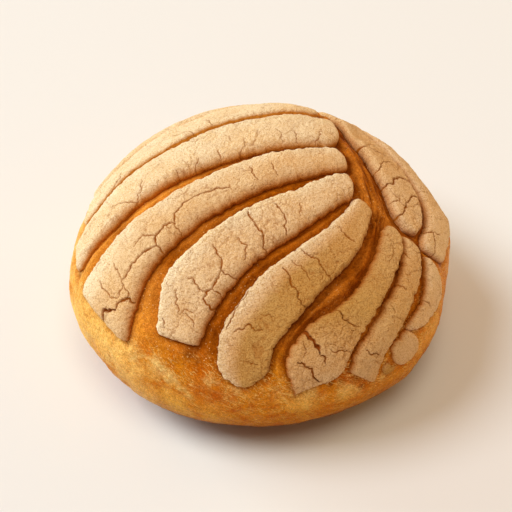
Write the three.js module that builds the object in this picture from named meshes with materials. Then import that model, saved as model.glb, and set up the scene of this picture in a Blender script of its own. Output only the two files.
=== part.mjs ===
// A sweet bun with a seashell pattern: a round bun of baked dough that carries ribs of crumbly
// sugar paste, fanned out over its top from a point near one side.
//
// Millimetres, +Z up. The bun stands on its flat foot at z = 0, and the origin is the middle of
// its outline on the floor. The fan opens towards -X and -Y.
import * as THREE from 'three';

// ---------------------------------------------------------------------------------------------
// Driving dimensions
// ---------------------------------------------------------------------------------------------

const bunRadius = 52.5; // at its widest ring, on average
const widestHeight = 24.5; // of that ring, above the floor
const domeRise = 33; // from the widest ring to the top of the ribs
const domeFullness = 2.1; // exponent of the curve above the widest ring: 2 is an ellipse
const bellyDrop = 29.5; // from the widest ring to where the lower curve would close
const bellyFullness = 2.5; // exponent of the curve below it: the flat foot cuts it off
const axisX = 0.14; // the bun's own axis, so that the outline is centred on the origin
const axisY = -0.75;

// The outline seen from above is not quite round: each swell is a share of the radius.
const outlineSwells = [
  { lobes: 2, size: 0.012, turn: THREE.MathUtils.degToRad(31) },
  { lobes: 3, size: 0.018, turn: THREE.MathUtils.degToRad(-28) },
];

// The risen dough swells here and sinks there, and the ribs follow it: [right, back] on the rolled
// out surface (see the ribs), the rise in millimetres and how far it spreads.
const doughSwells = [
  { at: [-67, -19], rise: 0.9, spread: 14 },
  { at: [-57, -46], rise: -0.4, spread: 12 },
  { at: [54, -51], rise: 0.8, spread: 11 },
  { at: [68, -16], rise: -1.0, spread: 11 },
  { at: [61, 4], rise: 1.3, spread: 7 },
  { at: [31, 29], rise: -1.3, spread: 5 },
  { at: [22, 33], rise: 0.9, spread: 5 },
  { at: [8, 35], rise: 1.2, spread: 9 },
  { at: [-34, 62], rise: 0.8, spread: 15 },
  { at: [10, 72], rise: -0.7, spread: 13 },
  { at: [46, 54], rise: 0.6, spread: 14 },
];
const footMargin = 12; // the swells fade out over this distance from the foot

// The paste is thick over the top and thins towards its rim. Distances are measured over the
// surface, from the top of the bun.
const pasteDepth = 3.2; // from the top of the ribs to the dough
const pasteThinsFrom = 36;
const pasteEndsAt = 74;
const rimLip = 0.7; // how far the paste stands above the dome's own curve near its rim
const rimLipFrom = 44;
const rimLipFull = 60;
const ribClearance = 0.3; // between the dough and a rib

const ribShoulder = 4.5; // width over which a rib rounds down to its edge
const ribEdgeShare = 0.42; // height of the edge, as a share of the rib's thickness
const ribSegmentsAcross = 6;
const ribSegmentLength = 4.2;

const pasteLump = 0.3; // largest rise or fall of the lumps on the ribs
const pasteLumpSpacing = 31;

const bunSides = 64;
const bunRings = 26;

// ---------------------------------------------------------------------------------------------
// The ribs. Each has two edges, drawn from the hub outwards as smooth curves through a few points
// of the bun's surface rolled out flat: [right, back] in millimetres over the surface, from the
// top. The first edge is the clockwise one as seen from above.
// ---------------------------------------------------------------------------------------------

const ribEdges = {
  rib_back: [
    [[8, 57.5], [-12, 57], [-32, 48], [-47, 34], [-55, 19]],
    [[11, 47], [-9, 44], [-32, 34], [-45, 24.5], [-55, 13]],
  ],
  rib_back_left: [
    [[14, 44], [-7, 41], [-30, 31], [-43, 21.5], [-55, 9.5]],
    [[18, 33], [-1, 29], [-20, 21], [-40, 10.5], [-54, -3]],
  ],
  rib_left: [
    [[21, 30.5], [-1, 26.6], [-20, 18.5], [-40, 8], [-55.5, -8]],
    [[22.8, 16], [-5, 6.7], [-25, -1.5], [-40, -10], [-55, -19.5]],
  ],
  rib_front_left: [
    [[22, 13.4], [-5, 5], [-25, -5.5], [-40, -14.7], [-53.5, -25]],
    [[24.2, 4.6], [5, -4], [-15, -16], [-29.5, -28.5], [-38.5, -42.5]],
  ],
  rib_front_1: [
    [[24, 2.6], [5, -8], [-15, -20], [-26, -32], [-28.5, -43]],
    [[23.3, -5], [10, -18.6], [-6, -32.2], [-14, -42], [-18, -48.5]],
  ],
  rib_front_2: [
    [[26, -6], [15, -19], [-3.5, -36.5], [-10.6, -46.5], [-11.4, -56.5], [-7, -61]],
    [[29, -9.5], [25, -22.8], [11.7, -40], [3.6, -50], [1, -58], [-3, -60.5]],
  ],
  rib_front_3: [
    [[31.5, -12], [28.8, -22], [23.5, -34.5], [12, -46], [7.2, -55], [11.5, -64]],
    [[36.5, -12], [38.2, -18], [34.7, -30], [25.4, -50], [23, -56], [17, -60.5]],
  ],
  rib_front_4: [
    [[39.5, -14], [38.3, -25], [33.2, -37.5], [27.2, -51], [27.2, -56.5]],
    [[43.5, -15], [45, -22], [43, -33], [38, -47], [39, -56.5]],
  ],
  rib_right_1: [
    [[46, -17], [46.4, -24], [45.6, -31], [42.8, -38.6]],
    [[51, -18.6], [55.4, -24], [53, -32], [46.4, -38]],
  ],
  rib_right_2: [
    [[43.6, -41.8], [41, -46], [40, -50]],
    [[50, -41.2], [50.4, -46], [46.5, -49.8]],
  ],
  rib_right_3: [
    [[55, -13.8], [59, -3], [59.5, 9], [54, 26], [41, 43]],
    [[48, -15], [48.8, -5], [48.5, 3], [41.5, 19], [27, 51.5]],
  ],
  rib_right_4: [
    [[43.8, -12.2], [47, -3], [45.5, 7.5], [39.2, 19.7], [25, 51.5]],
    [[36.6, -8.2], [32.8, 3], [27, 18.5], [21.5, 34], [11, 57]],
  ],
};

// ---------------------------------------------------------------------------------------------
// Materials
// ---------------------------------------------------------------------------------------------

const crustMaterial = new THREE.MeshStandardMaterial({ color: 0xc98b3f, roughness: 0.45, metalness: 0 });
const pasteMaterial = new THREE.MeshStandardMaterial({ color: 0xe3bd87, roughness: 0.85, metalness: 0 });

// ---------------------------------------------------------------------------------------------
// The bun's surface
// ---------------------------------------------------------------------------------------------

const { smoothstep, lerp } = THREE.MathUtils;

// The half section over the ribs, from the top to the edge of the foot, as a list of small steps
// with the distance walked so far.
function walkSection(steps = 1500) {
  const footAngle = -Math.asin((widestHeight / bellyDrop) ** (bellyFullness / 2));
  const stations = [];
  for (let i = 0; i <= steps; i += 1) {
    const angle = lerp(Math.PI / 2, footAngle, i / steps);
    const above = angle >= 0;
    const power = 2 / (above ? domeFullness : bellyFullness);
    const reach = above ? domeRise : -bellyDrop;
    const radius = bunRadius * Math.max(Math.cos(angle), 0) ** power;
    const height = widestHeight + reach * Math.abs(Math.sin(angle)) ** power;
    const last = stations.at(-1);
    const walked = last ? last.walked + Math.hypot(radius - last.radius, height - last.height) : 0;
    stations.push({ walked, radius, height });
  }
  return stations;
}

const section = walkSection();
const sectionLength = section.at(-1).walked;

// Radius, height and outward direction of the section at a distance from the top.
function sectionAt(distance) {
  const wanted = THREE.MathUtils.clamp(distance, 0, sectionLength);
  let low = 0;
  let high = section.length - 1;
  while (high - low > 1) {
    const middle = (low + high) >> 1;
    if (section[middle].walked <= wanted) low = middle;
    else high = middle;
  }
  const a = section[low];
  const b = section[high];
  const share = (wanted - a.walked) / (b.walked - a.walked);
  const along = new THREE.Vector2(b.radius - a.radius, b.height - a.height).normalize();
  return {
    radius: lerp(a.radius, b.radius, share),
    height: lerp(a.height, b.height, share),
    out: new THREE.Vector2(-along.y, along.x),
  };
}

function outlineAt(turn) {
  return outlineSwells.reduce((sum, s) => sum + s.size * Math.cos(s.lobes * (turn - s.turn)), 1);
}

function swellAt(right, back) {
  const fromFoot = sectionLength - Math.hypot(right, back);
  const all = doughSwells.reduce((sum, { at, rise, spread }) => {
    const away = Math.hypot(right - at[0], back - at[1]) / spread;
    return sum + rise * Math.exp(-away * away);
  }, 0);
  return all * smoothstep(fromFoot, 0, footMargin);
}

// A point of the surface in space, lifted by some millimetres along the outward direction.
function onSurface(right, back, lift) {
  const turn = Math.atan2(back, right);
  const { radius, height, out } = sectionAt(Math.hypot(right, back));
  const rise = lift + swellAt(right, back);
  const reach = radius * outlineAt(turn) + rise * out.x;
  return new THREE.Vector3(
    axisX + reach * Math.cos(turn),
    axisY + reach * Math.sin(turn),
    height + rise * out.y,
  );
}

// How far the dough lies below the curve over the ribs.
function doughDepthAt(distance) {
  return pasteDepth * (1 - smoothstep(distance, pasteThinsFrom, pasteEndsAt));
}

// Lumps of the paste, from -1 to 1, over the flat map of the surface.
function pasteLumpAt(right, back) {
  const wave = (2 * Math.PI) / pasteLumpSpacing;
  const wide = Math.sin(wave * (right + 0.35 * back)) * Math.sin(wave * (0.9 * back - 0.2 * right));
  const narrow = Math.sin(wave * (1.7 * back - right) + 1.3) * Math.sin(1.3 * wave * right + 0.6);
  return (wide + narrow) / 2;
}

// ---------------------------------------------------------------------------------------------
// The dough
// ---------------------------------------------------------------------------------------------

// A flat dish is turned first, as wide as the walk from the top to the foot is long. Folded over
// the bun, its rim becomes the edge of the foot, which closes under it.
function makeBun() {
  const footMark = -1;
  const dish = [new THREE.Vector2(0, footMark)];
  for (let ring = bunRings; ring >= 0; ring -= 1) {
    dish.push(new THREE.Vector2((sectionLength * ring) / bunRings, 0));
  }
  const geometry = new THREE.LatheGeometry(dish, bunSides);
  geometry.rotateX(Math.PI / 2);

  const position = geometry.attributes.position;
  const point = new THREE.Vector3();
  for (let i = 0; i < position.count; i += 1) {
    point.fromBufferAttribute(position, i);
    const distance = Math.hypot(point.x, point.y);
    const place = point.z === footMark
      ? new THREE.Vector3(axisX, axisY, 0)
      : onSurface(point.x, point.y, -doughDepthAt(distance));
    position.setXYZ(i, place.x, place.y, place.z);
  }
  return new THREE.Mesh(geometry, crustMaterial);
}

// ---------------------------------------------------------------------------------------------
// The ribs
// ---------------------------------------------------------------------------------------------

function smoothEdge(points) {
  return new THREE.CatmullRomCurve3(points.map(([right, back]) => new THREE.Vector3(right, back, 0)));
}

// 0 at the edge of a rib, 1 where its rounded shoulder ends.
function shoulderAt(distanceFromEdge) {
  const share = Math.min(distanceFromEdge / ribShoulder, 1);
  return Math.sqrt(1 - (1 - share) ** 2);
}

// A box of 2 x 1 x 1 is bent into the rib: x runs from its second edge to its first, y from the
// hub outwards and z from its underside to its top.
function makeRib([firstPoints, secondPoints]) {
  const first = smoothEdge(firstPoints);
  const second = smoothEdge(secondPoints);
  const length = (first.getLength() + second.getLength()) / 2;
  const segmentsAlong = Math.max(4, Math.round(length / ribSegmentLength));
  const geometry = new THREE.BoxGeometry(2, 1, 1, ribSegmentsAcross, segmentsAlong, 1);

  const position = geometry.attributes.position;
  for (let i = 0; i < position.count; i += 1) {
    const across = Math.sin((position.getX(i) * Math.PI) / 2);
    const along = position.getY(i) + 0.5;
    const isTop = position.getZ(i) > 0;
    const start = second.getPointAt(along);
    const end = first.getPointAt(along);
    const place = start.clone().lerp(end, (across + 1) / 2);
    const halfWidth = start.distanceTo(end) / 2;
    const distance = Math.hypot(place.x, place.y);

    const underside = ribClearance - doughDepthAt(distance);
    const ridge = rimLip * smoothstep(distance, rimLipFrom, rimLipFull)
      + pasteLump * (pasteLumpAt(place.x, place.y) - 0.5);
    const edgeDistance = Math.min((1 - Math.abs(across)) * halfWidth, along * length, (1 - along) * length);
    const fullness = ribEdgeShare + (1 - ribEdgeShare) * shoulderAt(edgeDistance);
    const lift = isTop ? lerp(underside, ridge, fullness) : underside;
    const point = onSurface(place.x, place.y, lift);
    position.setXYZ(i, point.x, point.y, point.z);
  }
  return new THREE.Mesh(geometry, pasteMaterial);
}

// ---------------------------------------------------------------------------------------------
// The whole
// ---------------------------------------------------------------------------------------------

const group = new THREE.Group();

const bun = makeBun();
bun.name = 'bun';
group.add(bun);

for (const [name, edges] of Object.entries(ribEdges)) {
  const rib = makeRib(edges);
  rib.name = name;
  group.add(rib);
}

export default group;
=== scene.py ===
import functools
import itertools
import math
from typing import NamedTuple

import bpy
import numpy as np
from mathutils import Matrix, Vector
from mathutils.kdtree import KDTree


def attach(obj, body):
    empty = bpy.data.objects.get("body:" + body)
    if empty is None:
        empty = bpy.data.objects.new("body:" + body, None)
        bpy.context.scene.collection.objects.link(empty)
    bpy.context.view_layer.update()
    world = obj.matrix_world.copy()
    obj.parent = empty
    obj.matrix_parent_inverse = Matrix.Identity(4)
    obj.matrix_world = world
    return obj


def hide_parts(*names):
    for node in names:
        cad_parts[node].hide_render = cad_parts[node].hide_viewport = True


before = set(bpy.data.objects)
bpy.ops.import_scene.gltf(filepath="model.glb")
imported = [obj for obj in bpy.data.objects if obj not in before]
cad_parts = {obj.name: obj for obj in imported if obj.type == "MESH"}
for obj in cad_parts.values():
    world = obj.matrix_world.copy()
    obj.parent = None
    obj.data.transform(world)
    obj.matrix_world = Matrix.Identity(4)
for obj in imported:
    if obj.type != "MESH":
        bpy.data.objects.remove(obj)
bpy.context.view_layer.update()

MM = 0.001
TINY = 1e-9  # keeps divisions away from nought

# ---- Driving dimensions, the same as the solids have ----

BUN_RADIUS = 52.5
WIDEST_HEIGHT = 24.5
DOME_RISE = 33.0
DOME_FULLNESS = 2.1  # exponent of the curve: 2 is an ellipse
BELLY_DROP = 29.5
BELLY_FULLNESS = 2.5
AXIS = np.array([0.14, -0.75])

OUTLINE_SWELLS = [(2, 0.012, 31), (3, 0.018, -28)]  # lobes, share of the radius, turn in degrees
DOUGH_SWELLS = [  # right, back, rise, spread
    (-67, -19, 0.9, 14), (-57, -46, -0.4, 12), (54, -51, 0.8, 11), (68, -16, -1.0, 11),
    (61, 4, 1.3, 7), (31, 29, -1.3, 5), (22, 33, 0.9, 5), (8, 35, 1.2, 9),
    (-34, 62, 0.8, 15), (10, 72, -0.7, 13), (46, 54, 0.6, 14),
]
FOOT_MARGIN = 12.0  # the swells fade out over this distance from the foot

PASTE_DEPTH = 3.2
PASTE_THINS_FROM = 36.0
PASTE_ENDS_AT = 74.0
RIM_LIP = 0.7
RIM_LIP_FROM = 44.0
RIM_LIP_FULL = 60.0
PASTE_LUMP = 0.3
PASTE_LUMP_SPACING = 31.0

# ---- The ribs ----
# Places are [right, back] on the bun's surface rolled out flat, measured over it from the top. A
# rib's edges run from the hub to the rim. A pair holds a value for each edge, or for hub and rim.


class Rib(NamedTuple):
    first: list
    second: list
    corners: tuple  # radius of the corners at the hub and at the rim
    bows: tuple  # how far these two ends bow out
    shoulders: tuple  # width over which each edge rounds down
    stain_and_shade: tuple  # how oily and brown each slope is, with painted shade where it turns from the light: above 1 the brown reaches further up
    toast_and_shade: tuple  # how toasted each side is, with painted shade where it turns from the light
    fine: float = 0.38  # strength of the finest hairlines
    rim_toast_and_shade: float = 1.0  # share of the toast and painted shade that is left at the rim
    cracks: list = ()  # open cracks as (width, points)


RIBS = {
    "rib_back": Rib(
        first=[(8, 57.5), (-12, 57), (-32, 48), (-47, 34), (-55, 19)],
        second=[(11, 46.4), (-9, 43.4), (-32, 33.4), (-45, 23.9), (-55, 12.2)],
        corners=(3.5, 2.0), bows=(0.8, 0.8), shoulders=(3.0, 4.5), stain_and_shade=(0.5, 0.5), toast_and_shade=(0.2, 0.2),
        cracks=[
            (0.2, [(-8, 53), (-6.5, 50), (-7, 46)]), (0.2, [(-26, 47.5), (-24.5, 43), (-26, 39.5)]),
        ],
    ),
    "rib_back_left": Rib(
        first=[(14.5, 44), (-7, 41), (-30, 31), (-43, 21.5), (-55, 9.5)],
        second=[(18.5, 33), (-1, 29.5), (-20.5, 21.5), (-40, 10.5), (-54, -3)],
        corners=(4.5, 3.0), bows=(0.6, 0.8), shoulders=(2.0, 2.6), stain_and_shade=(0.0, 4.0), toast_and_shade=(0.0, 0.14),
        cracks=[
            (0.23, [(-18, 31), (-15.5, 29.5), (-14, 26)]),
            (0.26, [(-26.5, 25), (-24, 24), (-21.8, 24.5), (-19.5, 22.5)]),
            (0.23, [(-42, 13.5), (-42, 11), (-43.5, 8)]),
        ],
    ),
    "rib_left": Rib(
        first=[(21.5, 31.5), (-1.5, 27.5), (-20.5, 19.5), (-40.5, 8.5), (-56, -7.5)],
        second=[(23.5, 18.5), (-6, 9), (-26, 1), (-41, -8), (-56, -18)],
        corners=(5.0, 2.6), bows=(0.8, 0.5), shoulders=(1.9, 4.6), stain_and_shade=(0.2, 1.0), toast_and_shade=(0.0, 0.16),
        cracks=[
            (0.23, [(-11.9, 11), (-11.8, 8.5), (-11.5, 6.5), (-11.7, 5.3)]),
            (0.23, [(-17.4, 8), (-17.8, 5.5), (-18.2, 4), (-17.9, 1.8)]),
            (0.2, [(-23.5, 4.6), (-22.8, 1.5), (-22.4, -0.5)]),
            (0.23, [(-33.5, 4.6), (-33.1, 1), (-33.7, -1.5), (-34.5, -3.3), (-33.4, -5.5)]),
            (0.23, [(-42.8, -2), (-38, -1.9), (-36.5, -3), (-34.5, -3.3)]),
            (0.23, [(9.6, 20), (9.7, 17), (10.2, 15)]),
            (0.23, [(17, 22.5), (16.5, 19), (15.6, 16.5), (15.5, 15)]),
            (0.17, [(-0.9, 19.5), (-0.8, 16.8)]),
            (0.17, [(-4.4, 15.2), (-4.9, 11.8), (-5.6, 10.2), (-5.7, 7.5)]),
            (0.17, [(-8.5, 17), (-8.3, 14.8)]), (0.17, [(-34.5, -3.3), (-37.2, -5.4)]),
            (0.13, [(4.2, 19.5), (5.8, 17.5), (5.6, 15)]),
        ],
    ),
    "rib_front_left": Rib(
        first=[(21.5, 15.5), (-5.5, 5.5), (-25.5, -5), (-40.5, -14), (-53.5, -25)],
        second=[(25.5, 7), (4.5, -2.5), (-16, -14.5), (-30.5, -27.5), (-35.8, -37), (-39.6, -44.6)],
        corners=(3.6, 1.6), bows=(0.6, 0.9), shoulders=(1.9, 4.6), stain_and_shade=(0.2, 1.0), toast_and_shade=(0.0, 0.42),
        cracks=[
            (0.45, [(-7.8, -4.5), (-12, -5.4), (-16.5, -7), (-19.3, -8), (-20.6, -9.6), (-22, -11.2),
                    (-22, -14.8)]),
            (0.6, [(-22, -14.8), (-23.5, -14.2), (-25, -14.8), (-27.3, -17.5), (-27.2, -20)]),
            (0.65, [(-27.2, -20), (-29, -20.5), (-31.5, -21.5), (-33, -23), (-34.6, -24.6),
                    (-37.2, -27)]),
            (0.5, [(-27.2, -20), (-25.5, -21.5), (-24.9, -22.6), (-24.6, -24.5)]),
            (0.25, [(-22, -14.8), (-20.9, -17), (-20.2, -19)]),
            (0.25, [(-27.3, -17.5), (-28.6, -16.8), (-30.5, -16), (-32, -17), (-33.2, -18.8)]),
            (0.35, [(-3.2, 2.6), (-2.5, 0.8), (-1.8, -0.3), (-0.9, -2.4)]),
            (0.2, [(2.8, 4), (3.8, 1), (4.5, -0.4)]),
            (1.3, [(-47.6, -38.4), (-45.6, -35.2), (-44.8, -33.3), (-42.5, -33.6), (-40.4, -34.5)]),
            (0.8, [(-40.4, -34.5), (-39.4, -33.2), (-37.8, -32.6), (-36.5, -32.6), (-34.6, -34)]),
            (0.3, [(-37.2, -27), (-37, -28.6), (-35.9, -29.8), (-35.5, -31.5), (-36.4, -33.4)]),
            (0.25, [(-44.4, -24.6), (-44, -27), (-42.4, -28.6), (-41.5, -31), (-38.8, -31.2),
                    (-37, -28.6)]),
            (0.2, [(-39.8, -21.6), (-38.2, -24.6), (-37.2, -27)]),
        ],
    ),
    "rib_front_1": Rib(
        first=[(23.5, 4.6), (4.5, -7.2), (-15.5, -19.5), (-26.5, -31.5), (-29, -44.2)],
        second=[(25.5, -3.5), (10, -18.6), (-6, -32.4), (-14, -42), (-17.8, -49.6)],
        corners=(2.6, 1.0), bows=(0.8, 0.3), shoulders=(1.9, 4.4), stain_and_shade=(0.2, 1.0), toast_and_shade=(0.0, 0.34),
        fine=0.8,
        cracks=[
            (0.45, [(3.5, -11), (5.3, -13), (6, -14.6), (6.5, -16.5), (6.4, -18), (6.9, -20.4)]),
            (0.5, [(-3.7, -13.6), (-2, -17), (-0.8, -18.8), (0.3, -20.3), (0.4, -22), (1.6, -25.5)]),
            (0.45, [(-12.5, -22.5), (-11.3, -25.5), (-10.2, -27.5), (-10.2, -30.5)]),
            (0.45, [(-10.2, -30.5), (-8, -32), (-6.5, -32.3), (-5.4, -33.4)]),
            (0.55, [(-10.2, -30.5), (-11.7, -33), (-12.5, -33.8), (-12.8, -35)]),
            (0.35, [(-12.8, -35), (-11.8, -35.8), (-10.2, -37.6)]),
            (0.5, [(-12.8, -35), (-14.5, -35.5), (-15.3, -37.5), (-13.3, -39.8), (-11.8, -40)]),
            (0.4, [(-18.8, -31), (-17.5, -32), (-16.8, -33.5), (-15.4, -35), (-14.5, -35.5)]),
            (0.25, [(-22, -33.6), (-22.4, -37), (-21.5, -38.5), (-22, -39.9)]),
            (0.2, [(-22, -39.9), (-20.6, -39), (-19, -39.4), (-18, -40.6)]),
            (0.2, [(-20.4, -40.2), (-18.6, -41.8), (-18, -44)]), (0.3, [(-26.4, -40.2), (-26.2, -42.8)]),
            (0.25, [(-6, -21.6), (-4, -24), (-3.8, -26), (-4.6, -28)]),
            (0.2, [(10, -10.4), (10.6, -12.6), (10, -14.6)]),
        ],
    ),
    "rib_front_2": Rib(
        first=[(26.2, -4.6), (15, -19.3), (-3.8, -36), (-10.8, -46.5), (-12, -56.5), (-7.5, -61.2)],
        second=[(30, -8), (25.6, -22.8), (12.2, -40.4), (4, -50.5), (1.2, -58), (-3, -61)],
        corners=(1.6, 1.8), bows=(0.6, 0.6), shoulders=(1.5, 1.8), stain_and_shade=(0.0, 0.5), toast_and_shade=(0.05, 0.84),
        fine=1.0,
        cracks=[
            (0.45, [(20.2, -16.4), (21.5, -18), (22.5, -18.8), (24.4, -20)]),
            (0.45, [(10.6, -24.8), (11.8, -25.8), (13.8, -26.5), (15.8, -28.5), (16.3, -29.6),
                    (18.8, -32)]),
            (0.5, [(5.6, -30.2), (7.8, -33), (8, -34.5), (9.7, -36.8), (9.8, -38), (11.8, -40.3)]),
            (0.2, [(8.2, -28), (9.5, -29), (12, -31), (12.8, -33.2)]),
            (0.35, [(-7.5, -46.6), (-4.8, -45.8), (-3.5, -45), (-1.8, -46.8), (0.6, -46.4)]),
            (0.2, [(0, -42.4), (2, -42.6), (3.2, -44.2)]),
            (0.2, [(-5, -54), (-3.5, -54.5), (-2.8, -55.3), (-0.8, -55.2)]),
            (0.2, [(-2.6, -50.4), (-1.2, -51.6)]),
            (0.35, [(-3.4, -36.4), (-5, -38.4), (-6.8, -40.8), (-8, -43), (-9.4, -45.8)]),
        ],
    ),
    "rib_front_3": Rib(
        first=[(33.6, -10.4), (30.8, -22.6), (25, -34.6), (12.8, -46.4), (7.2, -55), (11.4, -65.6)],
        second=[(38.2, -12.8), (38.8, -18), (35.2, -30.3), (27.4, -48), (24.6, -56), (20.4, -59.6)],
        corners=(2.6, 1.0), bows=(0.8, -1.0), shoulders=(3.8, 1.6), stain_and_shade=(1.0, 0.4), toast_and_shade=(0.88, 0.84),
        fine=1.0, rim_toast_and_shade=0.6,
        cracks=[
            (1.2, [(10.5, -46), (12.5, -46.8), (14.3, -48.5), (15.5, -49.3), (16.8, -51.8)]),
            (0.65, [(16.8, -51.8), (18.2, -52.4), (18.9, -54.2)]),
            (0.7, [(10.5, -54.6), (12.4, -54.8), (14.8, -56.2), (15.8, -58.2), (18.4, -59.8)]),
            (0.35, [(20.8, -39.8), (22, -40.5), (22.8, -41.8), (25.5, -43), (27.6, -43)]),
            (0.25, [(19.8, -50.2), (21.5, -50.6), (24.8, -49.7)]),
            (0.2, [(11.4, -49), (12.6, -51), (12, -53)]),
        ],
    ),
    "rib_front_4": Rib(
        first=[(38.9, -11.8), (39, -25), (34, -37.5), (28, -51), (27.6, -56)],
        second=[(44.4, -15), (45.6, -22), (43.6, -33), (38.6, -47), (38.4, -58)],
        corners=(2.0, 1.0), bows=(0.4, 0.2), shoulders=(4.0, 1.6), stain_and_shade=(1.0, 0.4), toast_and_shade=(0.74, 0.72),
        rim_toast_and_shade=0.8,
        cracks=[
            (0.4, [(30.8, -48.8), (32.5, -49.3), (35.6, -49)]),
            (0.25, [(35.6, -29.4), (38, -28.5), (40.6, -28.8)]),
            (0.25, [(38, -18.2), (40, -18.5), (41.2, -20)]), (0.2, [(36, -35), (37.6, -36.6)]),
            (0.5, [(30.6, -39.4), (31.4, -41.2)]), (0.45, [(28, -45.2), (29.2, -46.8)]),
        ],
    ),
    "rib_right_1": Rib(
        first=[(47.2, -15.2), (48.2, -24), (47.4, -31), (43.6, -39.6)],
        second=[(52, -17.4), (57, -24), (54, -32.5), (46, -39.4)],
        corners=(1.8, 1.2), bows=(0.4, 0.2), shoulders=(2.4, 2.0), stain_and_shade=(1.0, 0.4), toast_and_shade=(0.45, 0.35),
        cracks=[
            (0.25, [(46, -30.4), (48.6, -29.4), (51, -30.2)]),
        ],
    ),
    "rib_right_2": Rib(
        first=[(44.4, -39.6), (42.3, -42.6), (40.2, -45.2), (40, -46.4), (41.6, -48.2), (44.2, -50)],
        second=[(49, -40.4), (51.2, -42.8), (51, -44.8), (48.4, -49.2)],
        corners=(0.8, 1.4), bows=(0.3, 0.2), shoulders=(2.6, 1.8), stain_and_shade=(1.0, 0.5), toast_and_shade=(0.6, 0.5),
    ),
    "rib_right_3": Rib(
        first=[(56.4, -13.4), (60, -3), (60, 9), (54, 26), (41, 43)],
        second=[(46.2, -14.2), (46.6, -10), (48.6, -5), (49.4, 3.5), (43.2, 20), (28, 52)],
        corners=(2.2, 2.0), bows=(0.4, 0.4), shoulders=(3.0, 2.6), stain_and_shade=(0.6, 0.7), toast_and_shade=(0.35, 0.3),
        cracks=[
            (0.45, [(47, -8.4), (50.4, -6.6), (50.9, -10.8), (50.8, -16)]),
            (0.3, [(50.4, -6.6), (53, -5.4)]), (0.3, [(48.4, 9.6), (51.5, 11), (55, 10.2)]),
            (0.35, [(43.4, 24), (47, 25.5), (50.5, 28.5)]),
        ],
    ),
    "rib_right_4": Rib(
        first=[(43.4, -11.2), (46.8, -4), (46.4, 6), (40.6, 20.2), (26, 52)],
        second=[(37.6, -8), (35.9, -3), (34.6, 4), (29.6, 19.2), (24, 35), (12.5, 57.5)],
        corners=(2.4, 2.0), bows=(0.6, 0.4), shoulders=(2.4, 2.6), stain_and_shade=(0.5, 0.6), toast_and_shade=(0.42, 0.5),
        cracks=[
            (0.77, [(33.2, 1.7), (36, 4.5), (37.2, 5.3), (38.2, 7.3), (41.8, 10.3), (44.5, 11)]),
            (0.42, [(32.4, 8.6), (34, 11), (35, 13), (38.5, 16.5)]),
            (0.63, [(36.2, -9), (38, -7.5), (39.8, -4), (40.2, -2.8), (42.2, 1), (44, 3.5), (46.6, 4.4)]),
            (0.35, [(40.2, -2.8), (38.6, -2), (36, -2.6)]), (0.35, [(36.4, 1), (38, -0.4), (38.6, -2)]),
            (0.84, [(27.6, 20.6), (30, 20.2), (33, 19.5), (38, 19), (41, 18)]),
            (0.63, [(30.8, 20.8), (32.5, 23.5), (33.6, 25.4), (36.5, 27)]),
            (0.63, [(23, 38), (26, 39.4), (30, 39)]),
        ],
    ),
}

# Loose bits of paste on the crust, in the same terms.
SCRAPS = {
    "crumb_right": Rib(
        first=[(40.2, -50.7), (45.4, -51)],
        second=[(39.6, -52.8), (43.6, -54.2)],
        corners=(0.8, 0.8), bows=(0.3, 0.3), shoulders=(1.2, 1.2), stain_and_shade=(0.4, 0.4), toast_and_shade=(0.9, 0.9),
    ),
}

PASTE = {**RIBS, **SCRAPS}

# ---- Marks on the dough ----

# Grooves where it was stretched lengthwise while it rose: (half width, share of the stretch that
# is left at the far end, points).
STRETCHED = [
    (6.0, 0.35, [(8, 60), (12, 45), (18, 33), (24, 20), (27.5, 6), (30, -5), (28, -22), (20, -34),
                 (8, -47), (4, -58)]),
    (3.5, 1.0, [(33, -8), (38, -10.5), (45, -14.5), (55, -20)]),
]

# Strands drawn out along the channel between the two groups of ribs: (width, height, points).
STRANDS = [
    (0.8, 0.9, [(15, 50), (20, 34), (25, 19), (27.5, 10), (28.5, 0), (29.5, -5), (30.5, -9.5)]),
    (0.5, 0.6, [(17, 43), (22.4, 28), (25.6, 14), (27.2, 4), (28, -3)]),
    (0.5, 0.5, [(24, 37), (27.4, 22), (30, 10), (31.4, 2), (32.4, -5), (34, -9)]),
    (0.5, 0.5, [(35, -10), (40, -12.4), (46, -16), (54, -20.5)]),
]

# Fine raised lines of stretched skin on the belly: (width, share of the pale colour, points).
FIBRES = [
    (0.6, 0.8, [(-42.8, -48.9), (-35.2, -48.8), (-32, -51.2), (-28.1, -54.9), (-24.1, -62.2),
                (-22, -66)]),
    (0.3, 0.45, [(-49, -43), (-42, -46), (-36, -48.6)]),
    (0.3, 0.45, [(-34, -46.5), (-31, -49.5), (-30, -54), (-29.5, -58)]),
    (0.34, 0.52, [(-27.2, -58.3), (-25.6, -62.9), (-23.8, -65.9), (-21, -70)]),
    (0.3, 0.45, [(-20, -57.6), (-16.5, -59), (-12, -60.6), (-8.8, -62.4), (-4.3, -65.4), (-1, -69)]),
    (0.26, 0.39, [(-12, -59.4), (-9, -60.5), (-5, -62.5), (-2, -65)]),
    (0.26, 0.39, [(-19, -59), (-16, -62), (-11, -64.6), (-6, -69)]),
    (0.3, 0.39, [(1, -60), (6, -64), (10, -69), (16, -73)]),
    (0.34, 0.52, [(10.5, -62), (13, -67), (17, -71), (23, -74)]),
    (0.3, 0.45, [(16.3, -61.5), (15, -66), (16.4, -69.5), (20, -72)]),
    (0.3, 0.45, [(21, -61.5), (21.5, -64.5), (19, -68)]),
    (0.38, 0.52, [(23.4, -61), (28, -60.2), (34, -61.4), (38, -63)]),
    (0.3, 0.39, [(26, -61), (27, -64.7), (32, -67)]),
    (0.3, 0.39, [(-62, -34), (-56, -37), (-49, -43), (-46, -49)]),
    (0.26, 0.39, [(-58, -44), (-52, -50), (-47, -58), (-40, -63)]),
    (0.26, 0.33, [(-38, -58), (-34, -64), (-28, -69)]),
]

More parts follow.
